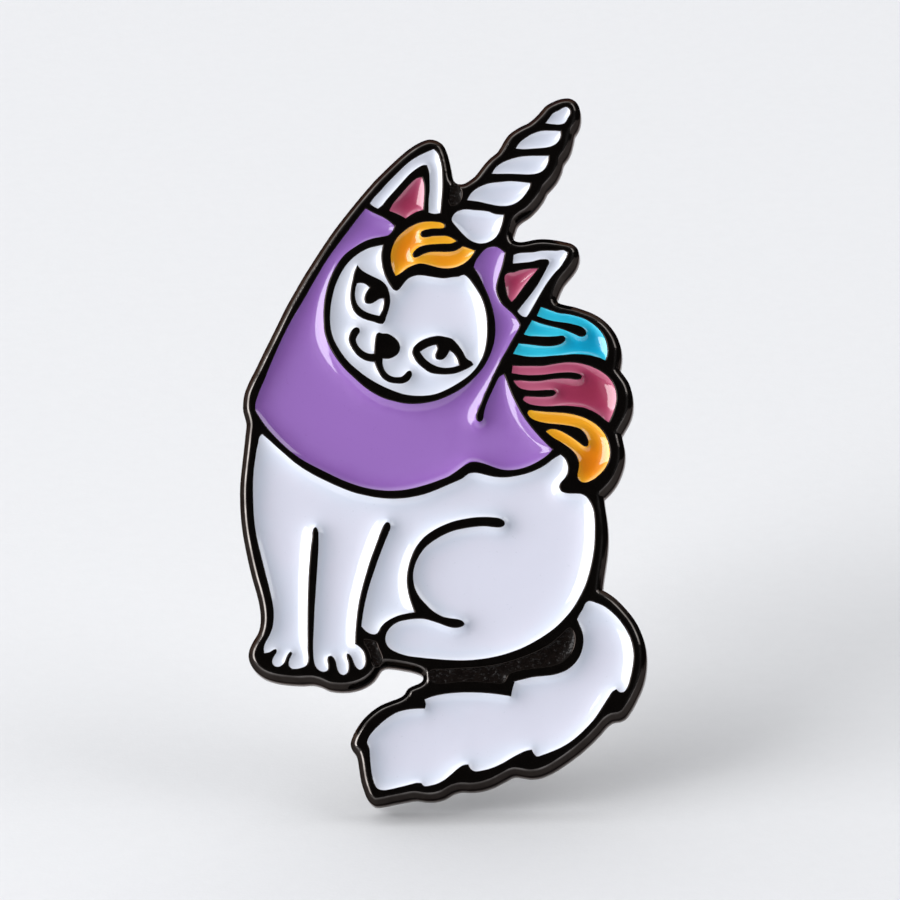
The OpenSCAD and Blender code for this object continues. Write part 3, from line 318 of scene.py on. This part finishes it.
class Solid:
    """Collects sheets and walls into one closed mesh.

    Places are x, y, z in millimetres. Each has a value from 0 to 1, which the materials read in the attribute
    "rise". On enamel it says how far the skin has climbed, and on the plate how near the shoulder is.
    """

    def __init__(self):
        self.places, self.faces, self.values = [], [], []
        self.count = 0

    def add(self, xyz, values=None):
        """Adds places and returns the number of the first."""
        self.places.append(np.asarray(xyz, float))
        self.values.append(np.zeros(len(xyz)) if values is None else np.asarray(values, float))
        self.count += len(xyz)
        return self.count - len(xyz)

    def sheet(self, place, tri, y, away=False, values=None):
        """A sheet that looks along -Y, or along +Y with away."""
        base = self.add(np.column_stack([place[:, 0], y, place[:, 1]]), values)
        self.faces += ((tri[:, ::-1] if away else tri) + base).tolist()
        return base

    def wall(self, a, b):
        """Quads between two closed lists of as many places. The sheet above a lies on the left of it."""
        n = len(a)
        for k in range(n):
            m = (k + 1) % n
            self.faces.append((a[m], a[k], b[k], b[m]))

    def well(self, base, place, loop, y, value):
        """A wall from a rim of the sheet at base down to y. Returns the first of its lower places."""
        n = len(loop)
        xyz = np.column_stack([place[loop, 0], np.full(n, y), place[loop, 1]])
        low = self.add(xyz, np.full(n, value))
        self.wall([base + k for k in loop], range(low, low + n))
        return low

    def build(self, name, node, angle=50):
        """The mesh as a piece that replaces a node, with edges sharper than angle kept sharp."""
        xyz = np.vstack(self.places)
        used = np.unique(np.concatenate([np.array(f) for f in self.faces]))
        order = np.full(len(xyz), -1)
        order[used] = np.arange(len(used))
        me = bpy.data.meshes.new(name)
        me.from_pydata((xyz[used] / MM).tolist(), [], [[int(order[i]) for i in f] for f in self.faces])
        me.validate()
        me.polygons.foreach_set("use_smooth", np.ones(len(me.polygons), bool))
        me.set_sharp_from_angle(angle=math.radians(angle))
        rise = me.attributes.new("rise", "FLOAT", "POINT")
        rise.data.foreach_set("value", np.concatenate(self.values)[used])
        me.update()
        obj = bpy.data.objects.new(name, me)
        scene.collection.objects.link(obj)
        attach(obj, "pin")
        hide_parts(node)
        return obj


def level_of(name):
    """Where the face of an enamel solid lies."""
    return round(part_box(name)[0].y * MM, 4)


ENAMELS = sorted(n for n in nodes if n.startswith("enamel_"))
loops_of = {n: [smooth(p) for p in outlines(n, level_of(n))] for n in ENAMELS}
outline = smooth(outlines("base_plate", 0.0)[0], step=0.075)
if area(outline) < 0:
    outline = outline[::-1]


def rough_noise(place, scale, seed):
    """Smooth noise at places, with about scale waves in a millimetre."""
    return np.array([noise.noise(Vector((x * scale, z * scale, seed))) for x, z in place.tolist()])


def enamel(name, depth=0.38, reach=0.46, spacing=0.09, extra=None):
    """A skin of liquid enamel that clings to the lines and lies lower by depth between them."""
    loops = loops_of[name]
    points = filling([(loops, SKIN_RINGS)], spacing, clear=SKIN_CLEAR, away=Away(loops))
    place, tri, rim = triangulate(loops, points)
    cling = meniscus(place, tri, rim, reach)
    ripple = 0.006 * rough_noise(place, 0.6, 3.1) + 0.002 * rough_noise(place, 2.3, 8.7)
    y = EDGE + depth * (1 - cling) + (1 - cling) * ripple
    if extra is not None:
        y = y + (1 - cling) * extra(place)
    s = Solid()
    top = s.sheet(place, tri, y, values=cling)
    rim_loops = rims(tri)
    lows = [s.well(top, place, loop, FLOOR, 1.0) for loop in rim_loops]
    floor = triangulate([place[loop] for loop in rim_loops])[1]
    ids = np.concatenate([np.arange(low, low + len(loop)) for low, loop in zip(lows, rim_loops)])
    s.faces += ids[floor[:, ::-1]].tolist()
    return s.build("skin_" + name.removeprefix("enamel_"), name)


def quarter(d, radius):
    """How far a rounded edge has dropped at a distance from it."""
    t = np.clip((radius - d) / radius, 0, 1)
    return radius * (1 - np.sqrt(1 - t * t))


def bevel(d):
    """The outer bevel: a slope that turns into the flat top along a narrow rounding."""
    slope = BEVEL_DROP / BEVEL
    turn = np.clip((BEVEL + BEVEL_ROUND - d) / (2 * BEVEL_ROUND), 0, 1)
    return np.where(d < BEVEL - BEVEL_ROUND, slope * (BEVEL - d), slope * BEVEL_ROUND * turn**2)


def finder(pairs):
    """A function from a place to the number that goes with the nearest of the paired places."""
    tree = kdtree.KDTree(len(pairs))
    for q, i in pairs:
        tree.insert((q[0], q[1], 0), i)
    tree.balance()
    return lambda q: tree.find((q[0], q[1], 0))[1]


def is_outer(loop):
    """True for the plate's own outline. No cell or solder joint has half of its area."""
    return abs(area(loop)) > area(outline) / 2


def plate():
    """The struck plate: lines with rounded tops, a bevelled shoulder, cells with floors and a flat back."""
    cells = [p[::-1] for n in ENAMELS for p in loops_of[n]]
    out_away, in_away = Away([outline]), Away(cells)

    def nearest(q):
        return np.minimum(out_away(q), in_away(q))

    groups = [(cells, LINE_RINGS), ([outline], BEVEL_RINGS)]
    points = filling(groups, spacing=0.1, clear=TOP_CLEAR, away=nearest)
    place, tri, _ = triangulate([outline] + cells, points)
    out = out_away(place)
    y = TOP + bevel(out) + quarter(out, OUTER_ROUND) + quarter(in_away(place), LINE_ROUND)
    s = Solid()
    # Each place's value is how near it is to the shoulder's rounding, where the plating paints a highlight.
    top = s.sheet(place, tri, y, values=np.exp(-((out - BEVEL) / SHINE) ** 2))
    shoulder, lows = [], []
    for loop in rims(tri):
        if is_outer(place[loop]):
            shoulder = [(place[k], top + k) for k in loop]
        else:
            low = s.well(top, place, loop, FLOOR, 0.0)
            lows += [(place[k], low + i) for i, k in enumerate(loop)]
    low_at = finder(lows)
    for n in ENAMELS:
        floor_place, floor, _ = triangulate(loops_of[n])
        s.faces += np.array([low_at(q) for q in floor_place.tolist()])[floor].tolist()
    plate_back(s, out_away, shoulder)
    return s.build("plate", "base_plate")


def plate_back(s, out_away, shoulder):
    """The flat back with its rounded edge, the side up to the shoulder and a dimple round each post."""
    rounds, turn = [], -np.arange(ROUND_SIDES) * math.tau / ROUND_SIDES
    for n in ("solder_upper", "solder_lower"):
        lo, hi = (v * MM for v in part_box(n))
        mid, dimple = (lo + hi) / 2, lo.y
        radius = (hi.x - lo.x) / 2
        rounds.append(np.column_stack([mid.x + radius * np.cos(turn), mid.z + radius * np.sin(turn)]))
    back = [outline] + rounds
    groups = [([outline], BACK_RINGS), (rounds, ())]
    points = filling(groups, spacing=0.45, clear=BACK_CLEAR, away=Away(back))
    place, tri, _ = triangulate(back, points)
    base = s.sheet(place, tri, -quarter(out_away(place), BACK_ROUND), away=True)
    back_at = finder([(q, base + i) for i, q in enumerate(place.tolist())])
    s.wall([k for _, k in shoulder], [back_at(q) for q, _ in shoulder])
    for loop in rims(tri):
        if not is_outer(place[loop]):
            n = len(loop)
            low = s.add(np.column_stack([place[loop, 0], np.full(n, dimple), place[loop, 1]]))
            s.wall(range(low, low + n), [base + k for k in loop])
            s.faces.append(tuple(range(low, low + n)))


# The black paint in the gaps of the outline, each with the seed of its lumps.
WEBS = {"enamel_web_ear": 1.0, "enamel_web_paw": 2.0, "enamel_web_tail": 3.0}
SMALL = ("ear", "eye", "horn", "forelock", "mane")


def lumps(seed):
    """A function that gives the height of the lumps at places."""
    return lambda p: 0.05 * rough_noise(p, 1.3, seed) + 0.035 * rough_noise(p * [0.5, 1.6], 3.5, seed + 5)


def pour(name):
    """A cell's enamel. A small cell's skin turns down sooner than a large one's, and a gap's is lumpy."""
    if name in WEBS:
        return enamel(name, depth=0.24, reach=0.4, spacing=0.06, extra=lumps(WEBS[name]))
    if any(word in name for word in SMALL):
        return enamel(name, depth=0.37, reach=0.34, spacing=0.07)
    return enamel(name)


made = {n: pour(n) for n in ENAMELS}
made["base_plate"] = plate()


# ---------------------------------------------------------------- materials

class Paint:
    """A node material with short helpers."""

    def __init__(self, name, **sockets):
        self.mat = bpy.data.materials.new(name)
        self.mat.use_nodes = True
        self.tree = self.mat.node_tree
        self.shader = self.tree.nodes["Principled BSDF"]
        for k, v in sockets.items():
            self.shader.inputs[k.replace("_", " ")].default_value = v
        self.where = self.node("ShaderNodeTexCoord").outputs["Object"]

    def node(self, kind, **props):
        n = self.tree.nodes.new(kind)
        for k, v in props.items():
            setattr(n, k, v)
        return n

    def link(self, a, b):
        self.tree.links.new(a, b)

    def noise(self, size, detail=2.0, stretch=(1, 1, 1)):
        """Noise whose blobs are about size millimetres across."""
        m = self.node("ShaderNodeMapping")
        m.inputs["Scale"].default_value = [MM / size * s for s in stretch]
        self.link(self.where, m.inputs["Vector"])
        n = self.node("ShaderNodeTexNoise")
        n.inputs["Scale"].default_value = 1.0
        n.inputs["Detail"].default_value = detail
        self.link(m.outputs["Vector"], n.inputs["Vector"])
        return n.outputs["Fac"]

    def ramp(self, value, *stops):
        """A colour from a value, by stops of a position and a colour."""
        r = self.node("ShaderNodeValToRGB")
        while len(r.color_ramp.elements) < len(stops):
            r.color_ramp.elements.new(0.5)
        for e, (at, colour) in zip(r.color_ramp.elements, stops):
            e.position = at
            e.color = (*colour, 1)
        self.link(value, r.inputs["Fac"])
        return r.outputs["Color"]

    def span(self, value, a, b, c, d):
        """The value with a to b stretched to c to d, and held there outside."""
        m = self.node("ShaderNodeMapRange")
        for k, v in zip(("From Min", "From Max", "To Min", "To Max"), (a, b, c, d)):
            m.inputs[k].default_value = v
        self.link(value, m.inputs["Value"])
        return m.outputs["Result"]

    def mix(self, part, a, b):
        """Colour a with a varying part of the plain colour b."""
        m = self.node("ShaderNodeMix", data_type="RGBA")
        self.link(part, m.inputs["Factor"])
        self.link(a, m.inputs["A"])
        m.inputs["B"].default_value = (*b, 1)
        return m.outputs["Result"]

    def combine(self, a, b, operation="ADD"):
        """Two values that vary, put together by a sum or another operation."""
        m = self.node("ShaderNodeMath", operation=operation)
        self.link(a, m.inputs[0])
        self.link(b, m.inputs[1])
        return m.outputs["Value"]

    def set(self, name, value):
        self.link(value, self.shader.inputs[name])

    def bump(self, height, depth):
        """Bump whose full height is depth millimetres."""
        b = self.node("ShaderNodeBump")
        b.inputs["Strength"].default_value = 1.0
        b.inputs["Distance"].default_value = depth / MM
        self.link(height, b.inputs["Height"])
        self.link(b.outputs["Normal"], self.shader.inputs["Normal"])


def srgb(r, g, b):
    """A colour given as it looks on a screen, from 0 to 255."""
    return tuple(((c / 255 + 0.055) / 1.055) ** 2.4 if c > 10 else c / 255 / 12.92 for c in (r, g, b))


def enamel_paint(name, hollow_colour, mid, climbed_colour):
    """Baked enamel, coloured from the hollow to where the skin climbs a line, faintly clouded and specked.
    The climb carries painted light on some colours.
    """
    p = Paint(name, IOR=1.75)
    rise = p.node("ShaderNodeAttribute", attribute_name="rise").outputs["Fac"]
    cloud = p.span(p.noise(2.6, 3.0), 0.3, 0.7, -0.14, 0.14)
    # Colour by how far the skin has climbed: partly painted reflection and painted shade on the slopes.
    base = p.ramp(p.combine(rise, cloud), (0.12, hollow_colour), (0.5, mid), (1.0, climbed_colour))
    speck = p.span(p.noise(0.16, 1.0), 0.72, 0.8, 0.0, 0.22)
    p.set("Base Color", p.mix(speck, base, [c * 0.72 for c in mid]))
    p.set("Roughness", p.span(p.noise(0.7, 3.0), 0.3, 0.7, 0.05, 0.1))
    p.bump(p.combine(p.noise(0.9, 2.0), p.span(p.noise(0.12, 2.0), 0, 1, 0, 0.12)), 0.006)
    return p.mat


# On the white, a bluish painted reflection where the skin climbs; on the purple, painted shade there. The
# pink, orange and teal grow lighter towards the lines.
WHITE = enamel_paint("white_enamel", srgb(234, 235, 251), srgb(229, 235, 251), srgb(234, 238, 250))
PINK = enamel_paint("pink_enamel", srgb(158, 50, 82), srgb(172, 60, 96), srgb(200, 104, 136))
ORANGE = enamel_paint("orange_enamel", srgb(240, 130, 10), srgb(251, 152, 20), srgb(255, 186, 44))
TEAL = enamel_paint("teal_enamel", srgb(2, 138, 178), srgb(14, 176, 220), srgb(60, 212, 240))
PURPLE = enamel_paint("purple_enamel", srgb(164, 119, 202), srgb(156, 108, 194), srgb(150, 106, 188))


def plating():
    """Dyed black metal, with a painted highlight along the shoulder: its colour is lighter there."""
    p = Paint("black_plating", Metallic=0.95, IOR=1.5)
    p.shader.inputs["Specular Tint"].default_value = (0.24, 0.19, 0.17, 1)
    tone = p.noise(0.5, 4.0)
    # Painted highlight: a lighter metal colour along the shoulder's rounding, broken up by noise.
    edge = p.node("ShaderNodeAttribute", attribute_name="rise").outputs["Fac"]
    painted_highlight = p.combine(edge, p.span(p.noise(0.9, 3.0), 0.35, 0.6, 0.4, 1.0), "MULTIPLY")
    black = p.ramp(tone, (0.3, (0.025, 0.02, 0.018)), (0.75, (0.036, 0.03, 0.027)))
    p.set("Base Color", p.mix(painted_highlight, black, (0.17, 0.157, 0.15)))
    p.set("Roughness", p.span(p.noise(0.35, 3.0), 0.3, 0.7, 0.06, 0.11))
    p.bump(p.combine(p.noise(0.5, 3.0), p.span(p.noise(0.07, 2.0), 0, 1, 0, 0.25)), 0.005)
    return p.mat


def web_paint():
    """Thick black paint with grains in it."""
    p = Paint("black_paint", Metallic=0.0)
    p.shader.inputs["Specular IOR Level"].default_value = 0.2
    black = p.ramp(p.noise(0.3, 3.0), (0.3, (0.004, 0.0028, 0.0025)), (0.8, (0.01, 0.007, 0.006)))
    p.set("Base Color", black)
    p.set("Roughness", p.span(p.noise(0.25, 2.0), 0.3, 0.7, 0.05, 0.14))
    grains = p.span(p.noise(0.17, 2.0, (0.7, 1, 1.4)), 0.58, 0.7, 0, 1)
    p.bump(p.combine(p.noise(0.5, 2.0), grains), 0.03)
    return p.mat


def steel(name, colour, rough, grain, scale, stretch=(1, 1, 1)):
    """Plain metal. Its grain has a depth and a scale in millimetres, and is long where stretch is small."""
    p = Paint(name, Metallic=1.0)
    p.set("Base Color", p.ramp(p.noise(1.2, 3.0), (0.3, [c * 0.86 for c in colour]), (0.7, colour)))
    p.set("Roughness", p.span(p.noise(scale, 3.0, stretch), 0.3, 0.7, rough * 0.75, rough * 1.3))
    p.bump(p.noise(scale, 3.0, stretch), grain)
    return p.mat


PLATING, WEB = plating(), web_paint()
POST = steel("drawn_steel", (0.56, 0.56, 0.57), rough=0.3, grain=0.004, scale=0.25, stretch=(1, 0.12, 1))
SOLDER = steel("solder", (0.42, 0.43, 0.44), rough=0.42, grain=0.03, scale=0.5)
NICKEL = steel("nickel", (0.62, 0.6, 0.57), rough=0.22, grain=0.002, scale=0.6)
SPRING = steel("spring_nickel", (0.64, 0.62, 0.59), rough=0.18, grain=0.003, scale=0.3, stretch=(1, 1, 0.3))

look = {n: WHITE for n in ENAMELS}
look.update({"enamel_ear_left_inner": PINK, "enamel_ear_right_inner": PINK, "enamel_mane_pink": PINK,
             "enamel_forelock": ORANGE, "enamel_mane_orange": ORANGE, "enamel_mane_teal": TEAL,
             "enamel_hood": PURPLE, "base_plate": PLATING, **{n: WEB for n in WEBS}})
for n, piece in made.items():
    piece.data.materials.append(look[n])
METALS = {"post": POST, "solder": SOLDER, "wing": SPRING, "cup": NICKEL, "cover": NICKEL}
for n, o in nodes.items():
    if n not in made:
        o.data.materials.clear()
        o.data.materials.append(next(metal for word, metal in METALS.items() if word in n))


# ---------------------------------------------------------------- stage

LEAN = math.radians(58)                              # between the plate and the paper
UP = Vector((0, -math.cos(LEAN), math.sin(LEAN)))    # straight up from the paper
AWAY = Vector((0, math.sin(LEAN), math.cos(LEAN)))   # along the paper, away from the camera
GAP = 0.0001                                         # a small step that keeps the paper clear of the pin
FOOT = Vector((0, 0, cad_box[0][2] - GAP))           # just under the tail's edge
PAPER_HALF = 0.6                                     # half the width of the paper, in metres


def paper():
    """Pale paper, seen from its upper side only. It lets the lights behind it through."""
    p = Paint("paper", Roughness=0.9)
    p.shader.inputs["Specular IOR Level"].default_value = 0.1
    pale = p.ramp(p.noise(0.7, 4.0), (0.3, (0.645, 0.649, 0.667)), (0.7, (0.655, 0.659, 0.677)))
    p.set("Base Color", pale)
    # A faint painted glow in the paper, which lifts its shadows evenly.
    p.shader.inputs["Emission Color"].default_value = (1.0, 1.0, 1.03, 1)
    p.shader.inputs["Emission Strength"].default_value = 0.04
    p.bump(p.noise(0.22, 2.0), 0.008)
    out = p.tree.nodes["Material Output"]
    clear = p.node("ShaderNodeBsdfTransparent")
    pick = p.node("ShaderNodeMixShader")
    back = p.node("ShaderNodeNewGeometry").outputs["Backfacing"]
    shade = p.node("ShaderNodeLightPath").outputs["Is Shadow Ray"]
    p.link(p.combine(back, shade, "MAXIMUM"), pick.inputs["Fac"])
    p.link(p.shader.outputs["BSDF"], pick.inputs[1])
    p.link(clear.outputs["BSDF"], pick.inputs[2])
    p.link(pick.outputs["Shader"], out.inputs["Surface"])
    return p.mat


def sheet_of_paper():
    """A square of paper under the foot."""
    across, along = Vector((PAPER_HALF, 0, 0)), AWAY * PAPER_HALF
    mid = FOOT - UP * GAP
    corners = [mid + across * a + along * b for a, b in ((-1, -1), (1, -1), (1, 1), (-1, 1))]
    me = bpy.data.meshes.new("paper")
    me.from_pydata([tuple(c) for c in corners], [], [(0, 1, 2, 3)])
    me.update()
    me.materials.append(paper())
    obj = bpy.data.objects.new("paper", me)
    scene.collection.objects.link(obj)


sheet_of_paper()


def lamp(name, toward, size, power):
    """A soft light a metre from the pin in the given direction, aimed at it."""
    toward = Vector(toward).normalized()
    data = bpy.data.lights.new(name, "AREA")
    data.shape, data.energy = "RECTANGLE", power
    data.size, data.size_y = size
    obj = bpy.data.objects.new(name, data)
    obj.location = toward
    obj.rotation_mode = "QUATERNION"
    obj.rotation_quaternion = toward.to_track_quat("Z", "Y")
    obj.visible_camera = False
    scene.collection.objects.link(obj)


lamp("key", (-0.858, -0.495, 0.139), (1.02, 0.8), 12.9)
lamp("fill", (0.727, -0.239, 0.643), (0.7, 0.7), 3.1)


# Soft patches of light in the room. Each has a direction, the cosine within which it is full, the cosine
# beyond which it is gone, its strength, and the strength that the room has beyond it.
GLOWS = [((-0.9, -0.4, 0.15), 0.93, 0.5, 0.38, 0.055),
         ((-0.6, -0.8, 0.0), 0.97, 0.88, 0.22, 0.0),
         ((-0.31, 0.516, 0.798), 0.878, 0.4, 2.1, 0.0)]


def world():
    """The room: plain and pale to the eye, and as a light the glows, with next to nothing between them."""
    w = bpy.data.worlds.new("studio")
    scene.world = w
    w.use_nodes = True
    t = w.node_tree
    t.nodes.clear()
    out = t.nodes.new("ShaderNodeOutputWorld")
    room, plain = t.nodes.new("ShaderNodeBackground"), t.nodes.new("ShaderNodeBackground")
    pick = t.nodes.new("ShaderNodeMixShader")
    plain.inputs["Color"].default_value = (0.86, 0.87, 0.9, 1)
    way = t.nodes.new("ShaderNodeTexCoord").outputs["Generated"]

    def glow(direction, near, far, at_near, at_far):
        """A soft patch of strength round a direction. Near and far are cosines."""
        dot = t.nodes.new("ShaderNodeVectorMath")
        dot.operation = "DOT_PRODUCT"
        dot.inputs[1].default_value = Vector(direction).normalized()
        t.links.new(way, dot.inputs[0])
        m = t.nodes.new("ShaderNodeMapRange")
        m.interpolation_type = "SMOOTHSTEP"
        for k, v in zip(("From Min", "From Max", "To Min", "To Max"), (far, near, at_far, at_near)):
            m.inputs[k].default_value = v
        t.links.new(dot.outputs["Value"], m.inputs["Value"])
        return m.outputs["Result"]

    total = glow(*GLOWS[0])
    for patch in GLOWS[1:]:
        both = t.nodes.new("ShaderNodeMath")
        t.links.new(total, both.inputs[0])
        t.links.new(glow(*patch), both.inputs[1])
        total = both.outputs["Value"]
    t.links.new(total, room.inputs["Strength"])
    room.inputs["Color"].default_value = (0.99, 1.0, 1.01, 1)
    eye = t.nodes.new("ShaderNodeLightPath")
    t.links.new(eye.outputs["Is Camera Ray"], pick.inputs["Fac"])
    t.links.new(room.outputs["Background"], pick.inputs[1])
    t.links.new(plain.outputs["Background"], pick.inputs[2])
    t.links.new(pick.outputs["Shader"], out.inputs["Surface"])


world()


def camera():
    """A long lens, a little to the right of the face and below it."""
    right, above, distance = math.radians(4), math.radians(-10), 0.5
    aim = Vector((0.0003, -0.0015, -0.00075))
    back = Vector((math.sin(right) * math.cos(above), -math.cos(right) * math.cos(above), math.sin(above)))
    data = bpy.data.cameras.new("camera")
    data.lens = 400
    obj = bpy.data.objects.new("camera", data)
    obj.location = aim + back * distance
    obj.rotation_mode = "QUATERNION"
    obj.rotation_quaternion = back.to_track_quat("Z", "Y")
    data.clip_start, data.clip_end = 0.001, 10
    scene.collection.objects.link(obj)
    scene.camera = obj


camera()
scene.view_settings.view_transform = "Standard"
